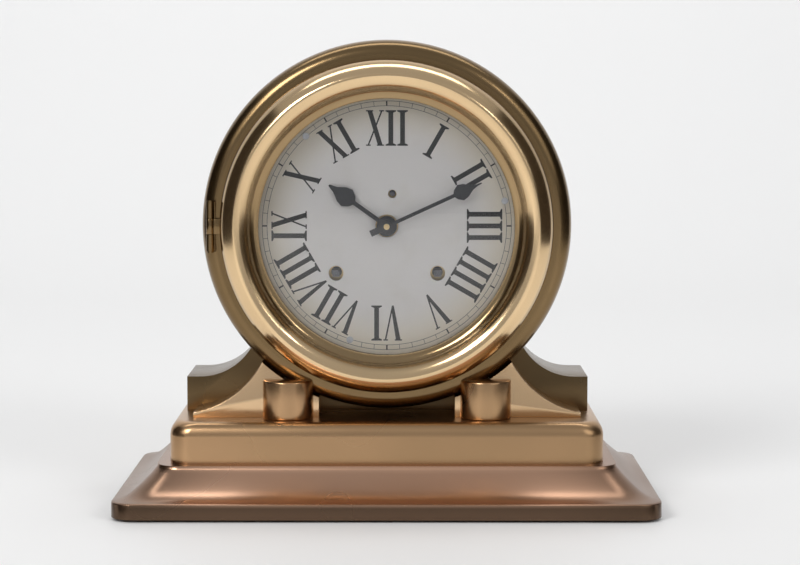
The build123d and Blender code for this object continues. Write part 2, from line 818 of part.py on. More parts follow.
def barrel_cover(at, label):
    with BuildPart() as lid:
        with BuildSketch(at_y(barrel_front_y + barrel_wall, *at)):
            Circle(barrel_r - barrel_wall - fit_gap)
            Circle(winding_arbor_r + fit_gap, mode=Mode.SUBTRACT)
        extrude(amount=barrel_wall)
    write(lid.part, label)


def winding_arbor(at, label):
    """The square ended arbor a key turns, with its ratchet wheel."""
    with BuildPart() as arbor:
        with BuildSketch(at_y(back_plate_end_y, *at)):
            Circle(winding_arbor_r)
        extrude(amount=back_plate_end_y - plate_front_y)
        with BuildSketch(at_y(plate_front_y, *at)):
            Rectangle(square_w, square_w)
        extrude(amount=plate_front_y - dial_front_y + 1)
        with BuildSketch(at_y(ratchet_back_y, *at)):
            with BuildLine():
                Polyline(*saw_teeth(ratchet_teeth, ratchet_r, 1.4, 0.12), close=True)
            make_face()
        extrude(amount=ratchet_t)
    write(arbor.part, label)


def click(at, label):
    """The pawl over a ratchet wheel, on its own stud."""
    pivot = (at[0], at[1] - click_drop)
    nose = polar(pivot, click_len, 90 + click_turn)
    with BuildPart() as pawl:
        with BuildSketch(at_y(ratchet_back_y, *pivot)):
            Circle(2.2)
        extrude(amount=ratchet_t)
        with BuildSketch(at_y(ratchet_back_y)):
            with BuildLine():
                side = towards(pivot, nose) + 90
                Polyline(
                    polar(pivot, 1.8, side),
                    polar(pivot, 1.8, side + 180),
                    nose,
                    close=True,
                )
            make_face()
        extrude(amount=ratchet_t)
        with BuildSketch(at_y(ratchet_back_y, *pivot)):
            Circle(click_stud_r + fit_gap)
        extrude(amount=ratchet_t, mode=Mode.SUBTRACT)
    write(pawl.part, label)


meshes_with = {"time_barrel": second_at, "strike_barrel": pins_at}
barrel(time_at, barrel_back_y + wheel_t, "time_barrel")
barrel(strike_at, barrel_front_y + wheel_t, "strike_barrel")
barrel_cover(time_at, "time_barrel_cover")
barrel_cover(strike_at, "strike_barrel_cover")
winding_arbor(time_at, "time_winding_arbor")
winding_arbor(strike_at, "strike_winding_arbor")
click(time_at, "time_click")
click(strike_at, "strike_click")

with BuildPart() as click_studs:
    with BuildSketch(at_y(plate_back_y)):
        with Locations(*((x, z - click_drop) for x, z in (time_at, strike_at))):
            Circle(click_stud_r)
    extrude(amount=-(ratchet_back_y - plate_back_y + 0.6))
write(click_studs.part, "click_studs")


def matching(wheel, wheel_at, pinion, pinion_at):
    """The direction of one pinion tooth, so that a gap faces the wheel's tooth."""
    return towards(pinion_at, wheel_at) + 180 / pinion[0]


def geared(at, wheel, wheel_y, tooth_at, pinion, pinion_y, pinion_at, spokes):
    return arbor_solid(
        at,
        (*wheel, wheel_y, thin_wheel_t, tooth_at) if wheel else None,
        (*pinion, pinion_y, pinion_t, pinion_at) if pinion else None,
        spokes,
    )


write(
    geared(
        second_at,
        second,
        second_y,
        towards(second_at, centre),
        great_pinion,
        barrel_back_y + wheel_t + 0.4,
        matching(great, time_at, great_pinion, second_at),
        5,
    ),
    "second_wheel",
)
write(
    geared(
        third_at,
        third,
        third_y,
        towards(third_at, fourth_at),
        third_pinion,
        centre_wheel_y + 0.4,
        matching(centre_wheel, centre, third_pinion, third_at),
        5,
    ),
    "third_wheel",
)
write(
    geared(
        fourth_at,
        fourth,
        fourth_y,
        towards(fourth_at, escape_at),
        fourth_pinion,
        third_y + 0.4,
        matching(third, third_at, fourth_pinion, fourth_at),
        5,
    ),
    "fourth_wheel",
)
write(
    geared(
        pins_at,
        pin_wheel,
        pin_wheel_y,
        towards(pins_at, fly_at),
        great_pinion,
        barrel_front_y + wheel_t + 0.4,
        matching(great, strike_at, great_pinion, pins_at),
        4,
    ),
    "pin_wheel",
)

with BuildPart() as pins:
    with BuildSketch(at_y(pin_wheel_y + pin_len, *pins_at)):
        with PolarLocations(pin_circle_r, 8, 22.5):
            Circle(pin_r)
    extrude(amount=pin_len)
write(pins.part, "striking_pins")

with BuildPart() as centre_arbor:
    with BuildSketch(at_y(back_plate_y - 0.3, *centre)):
        Circle(arbor_r)
    extrude(amount=back_plate_y - 0.3 - minute_front_y + 3.5)
    with BuildSketch(at_y(back_plate_y + plate_t * 0.8, *centre)):
        Circle(pivot_r)
    extrude(amount=plate_t)
    with BuildSketch(at_y(second_y + 0.4, *centre)):
        with BuildLine():
            Polyline(*teeth(*centre_pinion, towards(centre, second_at) + 180 / centre_pinion[0]), close=True)
        make_face()
    extrude(amount=pinion_t)
    with BuildSketch(at_y(centre_wheel_y, *centre)):
        with BuildLine():
            Polyline(*teeth(*centre_wheel, 90), close=True)
        make_face()
        Circle(14.0, mode=Mode.SUBTRACT)
        with PolarLocations(0, 5):
            Rectangle(14.5, 1.6, align=(Align.MIN, Align.CENTER))
        Circle(4.0)
    extrude(amount=thin_wheel_t)
write(centre_arbor.part, "centre_wheel")

with BuildPart() as escape:
    add(geared(escape_at, None, 0, 0, escape_pinion, fourth_y + 0.4, matching(fourth, fourth_at, escape_pinion, escape_at), 0))
    with BuildSketch(at_y(escape_y, *escape_at)):
        with BuildLine():
            Polyline(*saw_teeth(15, escape_r, 1.2, 0.3), close=True)
        make_face()
    extrude(amount=thin_wheel_t)
write(escape.part, "escape_wheel")

with BuildPart() as lever:
    add(arbor_solid(lever_at))
    with BuildSketch(at_y(escape_y, *lever_at)):
        Circle(2.0)
        with Locations(Rot(0, 0, towards(lever_at, balance_at))):
            Rectangle(7.5, 1.2, align=(Align.MIN, Align.CENTER))
        with Locations(Rot(0, 0, towards(lever_at, escape_at) + 90)):
            Rectangle(9.0, 1.2)
    extrude(amount=thin_wheel_t)
write(lever.part, "pallet_lever")

with BuildPart() as balance:
    add(arbor_solid(balance_at))
    with BuildSketch(at_y(balance_y, *balance_at)):
        Circle(balance_r)
        Circle(balance_r - 1.4, mode=Mode.SUBTRACT)
        Rectangle(2 * balance_r - 1, 1.4)
        Circle(2.2)
    extrude(amount=thin_wheel_t)
write(balance.part, "balance_wheel")

with BuildPart() as fly:
    add(geared(fly_at, None, 0, 0, fly_pinion, pin_wheel_y + 0.4, matching(pin_wheel, pins_at, fly_pinion, fly_at), 0))
    with BuildSketch(at_y(fly_y, *fly_at)):
        Rectangle(fly_w, fly_t)
        Circle(2.0)
    extrude(amount=fly_h)
write(fly.part, "fly")

# motion work under the dial, and the hands

with BuildPart() as cannon:
    with BuildSketch(at_y(minute_back_y, *centre)):
        with BuildLine():
            Polyline(*teeth(*cannon_pinion, towards(centre, minute_at) + 180 / cannon_pinion[0]), close=True)
        make_face()
    extrude(amount=minute_wheel_t)
    with BuildSketch(at_y(minute_back_y, *centre)):
        Circle(cannon_r)
    extrude(amount=minute_back_y - minute_y - hand_t)
    with BuildSketch(at_y(minute_back_y, *centre)):
        Circle(arbor_r + fit_gap)
    extrude(amount=minute_back_y - minute_y, mode=Mode.SUBTRACT)
write(cannon.part, "cannon_pinion")

with BuildPart() as minute_wheel:
    with BuildSketch(at_y(minute_back_y, *minute_at)):
        with BuildLine():
            Polyline(*teeth(*minute_gear, towards(minute_at, centre)), close=True)
        make_face()
    extrude(amount=minute_wheel_t)
    with BuildSketch(at_y(minute_back_y, *minute_at)):
        with BuildLine():
            Polyline(*teeth(*minute_pinion, towards(minute_at, centre) + 180 / minute_pinion[0]), close=True)
        make_face()
    extrude(amount=2 * minute_wheel_t + 0.5)
    with BuildSketch(at_y(minute_back_y, *minute_at)):
        Circle(arbor_r + fit_gap)
    extrude(amount=3 * minute_wheel_t, mode=Mode.SUBTRACT)
write(minute_wheel.part, "minute_wheel")

with BuildPart() as hour_wheel:
    with BuildSketch(at_y(hour_back_y, *centre)):
        with BuildLine():
            Polyline(*teeth(*hour_gear, towards(centre, minute_at)), close=True)
        make_face()
    extrude(amount=minute_wheel_t)
    with BuildSketch(at_y(hour_back_y, *centre)):
        Circle(hour_pipe_r)
    extrude(amount=hour_back_y - hour_y - hand_t)
    with BuildSketch(at_y(hour_back_y, *centre)):
        Circle(cannon_r + fit_gap)
    extrude(amount=hour_back_y - hour_y, mode=Mode.SUBTRACT)
write(hour_wheel.part, "hour_wheel")


def spade_hand(length, spade_at, spade_w, stem_w, hub_r, bore_r, front_y, turn, label, tail=0.0):
    """A spade hand: a hub, a slim stem that widens into the spade, and its point."""
    outline = [
        (stem_w / 2, 0),
        (stem_w / 2, spade_at - spade_w * 0.55),
        (spade_w * 0.30, spade_at - spade_w * 0.42),
        (spade_w * 0.50, spade_at - spade_w * 0.12),
        (spade_w * 0.42, spade_at + spade_w * 0.22),
        (spade_w * 0.16, spade_at + spade_w * 0.62),
        (stem_w * 0.28, spade_at + spade_w * 0.95),
        (stem_w * 0.16, length),
    ]
    with BuildPart() as hand:
        with BuildSketch(Plane(origin=(0, front_y + hand_t, dial_z), x_dir=turned_dir(turn), z_dir=(0, -1, 0))):
            with BuildLine():
                Polyline(*outline, *((-x, y) for x, y in reversed(outline)), close=True)
            make_face()
            Circle(hub_r)
            if tail:
                Rectangle(stem_w * 1.8, tail, align=(Align.CENTER, Align.MAX))
            Circle(bore_r, mode=Mode.SUBTRACT)
        extrude(amount=hand_t)
    write(hand.part, label)


def turned_dir(clockwise):
    """The x direction of a hand's own sketch when it points clockwise from twelve."""
    angle = math.radians(clockwise)
    return (math.cos(angle), 0, -math.sin(angle))


hour_turn = 30 * (time_hour + time_minute / 60)
spade_hand(hour_len, 23.0, 9.0, 1.9, 4.6, hour_pipe_r - 0.6, hour_y, hour_turn, "hour_hand")
spade_hand(
    minute_len, 37.5, 7.5, 1.6, 3.6, cannon_r - 0.5, minute_y, 6 * time_minute, "minute_hand", 8.0
)

with BuildPart() as hand_nut:
    with BuildSketch(at_y(minute_y, *centre)):
        Circle(2.7)
        Circle(arbor_r + fit_gap, mode=Mode.SUBTRACT)
    extrude(amount=1.6)
write(hand_nut.part, "hand_nut")

with BuildPart() as regulator:
    with BuildSketch(at_y(plate_back_y, *regulator_at)):
        Circle(pivot_r)
    extrude(amount=plate_back_y - dial_front_y + 0.2)
    with BuildSketch(at_y(plate_front_y - 0.1, *regulator_at)):
        Circle(pivot_r + 0.5)
    extrude(amount=1.0)
write(regulator.part, "regulator_arbor")

# bell and hammer

with BuildPart() as bell:
    with BuildSketch(turned(*centre)):
        with BuildLine():
            outside = [
                (bell_r * share, bell_rim_y + bell_depth * rise)
                for share, rise in ((1, 0), (0.9, 0.22), (0.82, 0.6), (0.68, 0.86), (0.42, 1))
            ]
            inside = [(r - bell_t, y - bell_t * rise) for (r, y), rise in zip(outside, (0, 0, 0.3, 0.8, 1))]
            Polyline(
                (bell_hole_r, bell_back_y),
                *reversed(outside),
                *inside,
                (bell_hole_r, bell_back_y - bell_t),
                close=True,
            )
        make_face()
    revolve(axis=case_axis)
write(bell.part, "bell")

with BuildPart() as bell_post:
    with BuildSketch(at_y(bell_back_y - bell_t, *centre)):
        Circle(3.0)
        Circle(plate_screw_r + fit_gap, mode=Mode.SUBTRACT)
    extrude(amount=bell_back_y - bell_t - back_plate_end_y)
write(bell_post.part, "bell_post")

with BuildPart() as bell_screw:
    with BuildSketch(at_y(bell_back_y + 1.6, *centre)):
        Circle(bell_hole_r + 2)
    extrude(amount=1.6)
    with BuildSketch(at_y(bell_back_y, *centre)):
        Circle(plate_screw_r)
    extrude(amount=10)
write(bell_screw.part, "bell_screw")

with BuildPart() as hammer:
    tail_len = math.dist(hammer_at, pins_at) - pin_circle_r - pin_r - 0.2
    with BuildSketch(at_y(hammer_y, *hammer_at)):
        Circle(arbor_r)
    extrude(amount=hammer_y - plate_back_y - 0.3)
    with BuildSketch(at_y(plate_back_y + 0.3, *hammer_at)):
        Circle(pivot_r)
    extrude(amount=plate_t * 0.8)
    with BuildSketch(Plane(origin=(hammer_at[0], pin_wheel_y + pin_len - 0.3, hammer_at[1]), x_dir=tail_dir, z_dir=(0, -1, 0))):
        Rectangle(tail_len, 1.4, align=(Align.MIN, Align.CENTER))
        Circle(2.2)
    extrude(amount=pin_len - 0.8)
    with BuildSketch(Plane(origin=(hammer_at[0], hammer_y, hammer_at[1]), x_dir=arm_dir, z_dir=(0, -1, 0))):
        Rectangle(math.dist(hammer_at, hammer_head_at), 1.8, align=(Align.MIN, Align.CENTER))
        Circle(2.4)
    extrude(amount=1.6)
    with BuildSketch(at_y(hammer_y + 2, *hammer_head_at)):
        Circle(hammer_head_r)
    extrude(amount=6)
write(hammer.part, "hammer")
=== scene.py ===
import json
import math

import bmesh
import bpy
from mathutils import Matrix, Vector


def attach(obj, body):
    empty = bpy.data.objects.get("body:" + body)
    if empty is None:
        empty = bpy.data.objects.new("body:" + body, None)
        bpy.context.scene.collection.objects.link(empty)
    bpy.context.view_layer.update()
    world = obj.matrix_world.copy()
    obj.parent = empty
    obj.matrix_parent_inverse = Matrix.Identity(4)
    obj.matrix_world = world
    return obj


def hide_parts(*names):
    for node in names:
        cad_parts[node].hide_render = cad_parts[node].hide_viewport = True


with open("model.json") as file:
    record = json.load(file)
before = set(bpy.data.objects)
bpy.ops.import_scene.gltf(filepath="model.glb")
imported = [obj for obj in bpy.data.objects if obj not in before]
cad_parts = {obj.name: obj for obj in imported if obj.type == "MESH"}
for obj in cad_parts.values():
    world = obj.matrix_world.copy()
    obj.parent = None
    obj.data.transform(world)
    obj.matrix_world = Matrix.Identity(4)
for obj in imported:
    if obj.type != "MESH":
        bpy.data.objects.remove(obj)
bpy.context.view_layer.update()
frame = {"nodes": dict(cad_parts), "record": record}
nodes = frame["nodes"]

mm = 0.001
dialZ = 0.128
dialHeight = 128.0  # dialZ in millimetres, for outlines
axisPoint = (0, 0, dialZ)
weldGap = 1e-7


def deselect():
    if bpy.context.object and bpy.context.object.mode != "OBJECT":
        bpy.ops.object.mode_set(mode="OBJECT")
    bpy.ops.object.select_all(action="DESELECT")


def only(obj):
    deselect()
    obj.select_set(True)
    bpy.context.view_layer.objects.active = obj


def edit(obj):
    only(obj)
    bpy.ops.object.mode_set(mode="EDIT")


# Names a piece, puts its origin at the frame's origin and smooths it.
def finishPiece(obj, name, angle=35):
    if obj.mode == "EDIT":
        bpy.ops.mesh.select_all(action="SELECT")
        bpy.ops.mesh.remove_doubles(threshold=weldGap)
        bpy.ops.mesh.normals_make_consistent(inside=False)
        bpy.ops.object.mode_set(mode="OBJECT")
    only(obj)
    bpy.ops.object.transform_apply(location=True, rotation=True, scale=True)
    bpy.ops.object.shade_smooth_by_angle(angle=math.radians(angle))
    obj.name = name
    obj.data.name = name
    return obj


# Makes one piece of several.
def joined(pieces, name):
    deselect()
    for piece in pieces:
        piece.select_set(True)
    bpy.context.view_layer.objects.active = pieces[0]
    bpy.ops.object.join()
    return finishPiece(bpy.context.object, name)


# A new piece in edit mode whose only edges run through the points.
def startPath(points):
    deselect()
    bpy.ops.mesh.primitive_plane_add(size=0.001, location=(0, 0, 0))
    obj = bpy.context.object
    edit(obj)
    bpy.ops.mesh.select_mode(type="VERT")
    bpy.ops.mesh.select_all(action="SELECT")
    bpy.ops.mesh.merge(type="CENTER")
    bpy.ops.transform.translate(value=points[0])
    for a, b in zip(points, points[1:]):
        step = Vector(b) - Vector(a)
        bpy.ops.mesh.extrude_region_move(TRANSFORM_OT_translate={"value": step})
    return obj


# Selects the edges for which wanted(end, other end, turn between faces) is true.
def pickEdges(obj, wanted):
    bpy.ops.mesh.select_all(action="DESELECT")
    bpy.ops.mesh.select_mode(type="EDGE")
    mesh = bmesh.from_edit_mesh(obj.data)
    for edge in mesh.edges:
        turn = edge.calc_face_angle(0.0) if len(edge.link_faces) == 2 else 0.0
        edge.select = wanted(edge.verts[0].co, edge.verts[1].co, turn)
    mesh.select_flush_mode()
    bmesh.update_edit_mesh(obj.data)


# Rounds the edges where faces meet at more than a turn in radians.
def softenEdges(obj, width, segments, sharperThan, clamp=False):
    pickEdges(obj, lambda a, b, turn: turn > sharperThan)
    bpy.ops.mesh.bevel(offset=width * mm, segments=segments, profile=0.5, clamp_overlap=clamp)


# A piece turned about the dial's axis from (radius, y) points in millimetres.
def lathe(name, profile, steps=192, closed=True):
    points = [(r * mm, y * mm, dialZ) for r, y in profile]
    obj = startPath(points + points[:1] if closed else points)
    bpy.ops.mesh.select_all(action="SELECT")
    bpy.ops.mesh.remove_doubles(threshold=weldGap)
    bpy.ops.mesh.select_all(action="SELECT")
    bpy.ops.mesh.spin(steps=steps, angle=2 * math.pi, center=axisPoint, axis=(0, 1, 0))
    return finishPiece(obj, name)


# A flat piece with an (x, z) outline in millimetres, between two depths.
def slab(name, outline, backY, frontY, soften=0.0, segments=2):
    obj = startPath([(x * mm, backY * mm, z * mm) for x, z in outline])
    bpy.ops.mesh.select_all(action="SELECT")
    bpy.ops.mesh.edge_face_add()
    bpy.ops.mesh.extrude_region_move(TRANSFORM_OT_translate={"value": (0, (frontY - backY) * mm, 0)})
    bpy.ops.mesh.select_all(action="SELECT")
    bpy.ops.mesh.normals_make_consistent(inside=False)
    if soften:
        softenEdges(obj, soften, segments, math.radians(28), clamp=True)
    return finishPiece(obj, name)


# Points on the arc from a to b that swells by the sagitta to the left of a to b.
def bow(a, b, sagitta, count):
    a, b = Vector(a), Vector(b)
    half = (b - a).length / 2
    radius = (half**2 + sagitta**2) / (2 * abs(sagitta))
    left = Vector((-(b - a).y, (b - a).x)).normalized() * (1 if sagitta > 0 else -1)
    centre = (a + b) / 2 + left * (abs(sagitta) - radius)
    spread = math.asin(min(1.0, half / radius))
    along = (b - a).normalized()
    points = []
    for i in range(count + 1):
        turn = -spread + 2 * spread * i / count
        points.append(tuple(centre + along * radius * math.sin(turn) + left * radius * math.cos(turn)))
    return points


# Shader maths: a socket with the usual operators.
class Val:
    def __init__(self, tree, socket):
        self.tree = tree
        self.socket = socket

    # any other node of the same tree, its inputs given by name or place
    def node(self, kind, inputs=(), output=0, **settings):
        made = self.tree.nodes.new(kind)
        for key, value in settings.items():
            setattr(made, key, value)
        for key, value in dict(inputs).items():
            target = made.inputs[key]
            if isinstance(value, Val):
                self.tree.links.new(value.socket, target)
            else:
                target.default_value = value
        return Val(self.tree, made.outputs[output])

    def maths(self, operation, other, swap=False):
        a, b = (other, self) if swap else (self, other)
        return self.node("ShaderNodeMath", {0: a, 1: b}, operation=operation)

    def __add__(self, other):
        return self.maths("ADD", other)

    def __radd__(self, other):
        return self.maths("ADD", other, True)

    def __sub__(self, other):
        return self.maths("SUBTRACT", other)

    def __rsub__(self, other):
        return self.maths("SUBTRACT", other, True)

    def __mul__(self, other):
        return self.maths("MULTIPLY", other)

    def __rmul__(self, other):
        return self.maths("MULTIPLY", other, True)

    def __pow__(self, other):
        return self.maths("POWER", other)

    def __rpow__(self, other):
        return self.maths("POWER", other, True)

    # 0 below low, 1 above high and smooth between
    def ramp(self, low, high):
        return self.node(
            "ShaderNodeMapRange",
            {"Value": self, "From Min": low, "From Max": high},
            interpolation_type="SMOOTHSTEP",
        )

    # the colour low where this is 0 and high where it is 1
    def mixed(self, low, high):
        blend = self.tree.nodes.new("ShaderNodeMix")
        blend.data_type = "RGBA"
        self.tree.links.new(self.socket, blend.inputs["Factor"])
        for key, colour in ((6, low), (7, high)):
            if isinstance(colour, Val):
                self.tree.links.new(colour.socket, blend.inputs[key])
            else:
                blend.inputs[key].default_value = (*colour, 1)
        return Val(self.tree, blend.outputs[2])

    # the three parts of a vector
    def axes(self):
        apart = self.tree.nodes.new("ShaderNodeSeparateXYZ")
        self.tree.links.new(self.socket, apart.inputs[0])
        return [Val(self.tree, part) for part in apart.outputs]

    def noise(self, scale, detail):
        spot = self.node("ShaderNodeVectorMath", {0: self, 1: (scale, scale, scale)}, operation="MULTIPLY")
        return self.node("ShaderNodeTexNoise", {"Vector": spot, "Scale": 1.0, "Detail": detail})


# A Principled material with fixed values, its object coordinates and its shader.
def material(name, constants):
    made = bpy.data.materials.new(name)
    made.use_nodes = True
    tree = made.node_tree
    shader = tree.nodes["Principled BSDF"]
    for key, value in constants.items():
        shader.inputs[key].default_value = value
    coordinates = tree.nodes.new("ShaderNodeTexCoord")
    return made, Val(tree, coordinates.outputs["Object"]), shader


def feed(value, shader, key):
    value.tree.links.new(value.socket, shader.inputs[key])


def bump(value, shader, strength, distance):
    settings = {"Height": value, "Strength": strength, "Distance": distance}
    feed(value.node("ShaderNodeBump", settings, output="Normal"), shader, "Normal")


def radiusFromAxis(spot):
    x, y, z = spot.axes()
    return ((x * x) + (z - dialZ) * (z - dialZ)) ** 0.5


# Brass and bronze

tarnishLook = {"size": 14, "detail": 1.5, "from": 0.25, "to": 0.80, "roughening": 0.18}
turningLook = {"ringsPerMetre": 2600, "strength": 0.10, "depth": 0.00001}
# name: bright colour, tarnished colour, roughness, how far age takes it
brassLook = {
    "caseBrass": ((0.88, 0.64, 0.37), (0.50, 0.33, 0.16), 0.16, 0.35),
    "bezelBrass": ((0.88, 0.64, 0.37), (0.50, 0.33, 0.16), 0.14, 0.35),
    # The drum's brass is painted dark: painted shade that stands in for the dark reflections on its band; the
    # hinge pieces share it
    "drumBrassPaintedShade": ((0.25, 0.165, 0.08), (0.14, 0.09, 0.04), 0.20, 0.4),
    "baseBrass": ((0.88, 0.61, 0.36), (0.52, 0.34, 0.17), 0.20, 0.4),
    "stepBrass": ((0.52, 0.32, 0.17), (0.38, 0.25, 0.13), 0.24, 0.5),
    # The saddle's brass is painted nearly black: painted shade that stands in for the shade and dark
    # reflections it holds behind the ramps
    "saddleBrassPaintedShade": ((0.15, 0.10, 0.05), (0.08, 0.05, 0.025), 0.26, 0.5),
    "plinthBronze": ((0.66, 0.40, 0.265), (0.58, 0.33, 0.21), 0.26, 0.4),
    "movementBrass": ((0.80, 0.61, 0.32), (0.62, 0.43, 0.2), 0.28, 0.3),
    "bellBrass": ((0.78, 0.64, 0.38), (0.5, 0.36, 0.18), 0.2, 0.35),
}


# An optional mask paints places towards the shade colour: painted shade that stands in for dark reflections
# and shadow
def brass(name, turned=False, paintedShadeMask=None, shade=None):
    bright, tarnished, roughness, amount = brassLook[name]
    made, spot, shader = material(name, {"Metallic": 1.0})
    cloud = spot.noise(tarnishLook["size"], tarnishLook["detail"])
    age = cloud.ramp(tarnishLook["from"], tarnishLook["to"]) * amount
    tone = age.mixed(bright, tarnished)
    if paintedShadeMask:
        tone = paintedShadeMask(spot).mixed(tone, shade)
    feed(tone, shader, "Base Color")
    feed(roughness + age * tarnishLook["roughening"], shader, "Roughness")
    if turned:
        across = radiusFromAxis(spot) * turningLook["ringsPerMetre"]
        rings = across.node(
            "ShaderNodeTexNoise", {"W": across, "Scale": 1.0, "Detail": 1.0}, noise_dimensions="1D"
        )
        bump(rings, shader, turningLook["strength"], turningLook["depth"])
    return made


# Painted shade on the bezel: the inner slope and the outer rim are painted darker to stand in for the dark
# reflections they catch
bezelPaintedShade = {
    "slope": (0.0615, 0.0648),  # radii between which the inner slope brightens
    "slopeAmount": 0.68,
    "rim": (0.0728, 0.0745),
    "rimAmount": 0.50,
    "shade": (0.20, 0.125, 0.05),
}


def bezelPaintedShadeMask(spot):
    radius = radiusFromAxis(spot)
    slope = (1 - radius.ramp(*bezelPaintedShade["slope"])) * bezelPaintedShade["slopeAmount"]
    return slope + radius.ramp(*bezelPaintedShade["rim"]) * bezelPaintedShade["rimAmount"]


# Painted shade on the plinth: the foot and both ends are painted darker to stand in for shade and dark
# reflections
plinthPaintedShade = {
    "foot": (0.0062, 0.0090),  # heights between which the foot brightens
    "footAmount": 0.93,
    "ends": (0.0040, 0.0125),  # squares of the distance from the middle
    "endsAmount": 0.72,
    "shade": (0.11, 0.07, 0.045),
}


def plinthPaintedShadeMask(spot):
    x, y, z = spot.axes()
    foot = (1 - z.ramp(*plinthPaintedShade["foot"])) * plinthPaintedShade["footAmount"]
    ends = (x * x).ramp(*plinthPaintedShade["ends"]) * plinthPaintedShade["endsAmount"]
    return foot + ends * (1 - foot)


caseBrass = brass("caseBrass", turned=True)
bezelBrass = brass("bezelBrass", turned=True, paintedShadeMask=bezelPaintedShadeMask, shade=bezelPaintedShade["shade"])
drumBrassPaintedShade = brass("drumBrassPaintedShade", turned=True)
baseBrass = brass("baseBrass")
stepBrass = brass("stepBrass")
saddleBrassPaintedShade = brass("saddleBrassPaintedShade")
plinthBronze = brass("plinthBronze", paintedShadeMask=plinthPaintedShadeMask, shade=plinthPaintedShade["shade"])
movementBrass = brass("movementBrass")
bellBrass = brass("bellBrass", turned=True)

# Steel, paint, ink, silvering, glass and baize

steelLook = {
    "plainSteel": ((0.42, 0.43, 0.45), (0.56, 0.57, 0.59)),
    "darkSteel": ((0.10, 0.10, 0.11), (0.15, 0.15, 0.16)),
}


def steel(name):
    made, spot, shader = material(name, {"Metallic": 1.0})
    grain = spot.noise(900, 2.0)
    feed(grain.mixed(*steelLook[name]), shader, "Base Color")
    feed(0.24 + grain * 0.14, shader, "Roughness")
    return made


paintLook = {"low": (0.010, 0.010, 0.012), "high": (0.022, 0.022, 0.026), "grain": 700, "roughness": 0.30}


def blackPaint():
    made, spot, shader = material("handBlack", {"Metallic": 0.0, "Coat Weight": 0.35, "Coat Roughness": 0.12})
    grain = spot.noise(paintLook["grain"], 2.0)
    feed(grain.mixed(paintLook["low"], paintLook["high"]), shader, "Base Color")
    feed(paintLook["roughness"] + grain * 0.12, shader, "Roughness")
    return made


inkLook = {"ink": (0.016, 0.015, 0.014), "worn": (0.07, 0.066, 0.06), "grain": 1500, "roughness": 0.45}


def printInk():
    made, spot, shader = material("numeralInk", {"Metallic": 0.0})
    grain = spot.noise(inkLook["grain"], 3.0)
    feed(grain.ramp(0.62, 0.78).mixed(inkLook["ink"], inkLook["worn"]), shader, "Base Color")
    feed(inkLook["roughness"] + grain * 0.2, shader, "Roughness")
    return made


silverLook = {
    "centre": (0.76, 0.74, 0.725),
    "edge": (0.80, 0.74, 0.62),
    "edgeFrom": 0.036,
    "edgeTo": 0.058,
    "spots": (0.66, 0.63, 0.57),
    "spotAmount": 0.35,
    "roughness": 0.46,
}


def silvered():
    made, spot, shader = material("dialSilver", {"Metallic": 0.15})
    edge = radiusFromAxis(spot).ramp(silverLook["edgeFrom"], silverLook["edgeTo"])
    cloud = spot.noise(70, 5.0)
    grain = spot.noise(1800, 2.0)
    tone = edge.mixed(silverLook["centre"], silverLook["edge"])
    spotted = (cloud.ramp(0.5, 0.8) * silverLook["spotAmount"]).mixed(tone, silverLook["spots"])
    feed(spotted, shader, "Base Color")
    feed(silverLook["roughness"] + grain * 0.16, shader, "Roughness")
    bump(grain, shader, 0.18, 0.00003)
    return made


glassLook = {"Metallic": 0.0, "Transmission Weight": 1.0, "IOR": 1.45, "Base Color": (1, 1, 1, 1)}


def clearGlass():
    made, spot, shader = material("clearGlass", glassLook)
    feed(spot.noise(40, 3.0) * 0.012, shader, "Roughness")
    return made


baizeLook = {"low": (0.02, 0.07, 0.035), "high": (0.05, 0.13, 0.07), "nap": 1400, "roughness": 0.86}


def baize():
    made, spot, shader = material("greenBaize", {"Metallic": 0.0})
    nap = spot.noise(baizeLook["nap"], 4.0)
    feed(nap.mixed(baizeLook["low"], baizeLook["high"]), shader, "Base Color")
    feed(baizeLook["roughness"] + nap * 0.1, shader, "Roughness")
    bump(nap, shader, 0.5, 0.0002)
    return made


looks = {
    "case_brass": caseBrass,
    "base_brass": baseBrass,
    "dial_silver": silvered(),
    "hand_black": blackPaint(),
    "clear_glass": clearGlass(),
    "green_baize": baize(),
    "movement_brass": movementBrass,
    "plain_steel": steel("plainSteel"),
    "bell_metal": bellBrass,
}
darkSteel = steel("darkSteel")
nodeLooks = {
    "plinth": plinthBronze,
    "time_winding_arbor": darkSteel,
    "strike_winding_arbor": darkSteel,
    "regulator_arbor": darkSteel,
    "hinge_leaf": drumBrassPaintedShade,
    "hinge_pin": drumBrassPaintedShade,
}
slotOf = {part["node"]: part["material_slot"] for part in frame["record"]["subparts"]}
for nodeName, obj in nodes.items():
    obj.data.materials.clear()
    obj.data.materials.append(nodeLooks.get(nodeName, looks[slotOf[nodeName]]))
ink = printInk()
print("materials made")


def setPiece(obj, body, slotName, look=None, replaced=()):
    obj.data.materials.clear()
    obj.data.materials.append(look or looks[slotName])
    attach(obj, body)
    if replaced:
        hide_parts(*replaced)


# Base


# (run, rise) levels of a quarter round that starts upright
def rounded(run, rise, count):
    levels = []
    for i in range(count):
        a, b = (math.pi / 2 * k / count for k in (i, i + 1))
        levels.append((run * (math.cos(a) - math.cos(b)), rise * (math.sin(b) - math.sin(a))))
    return levels


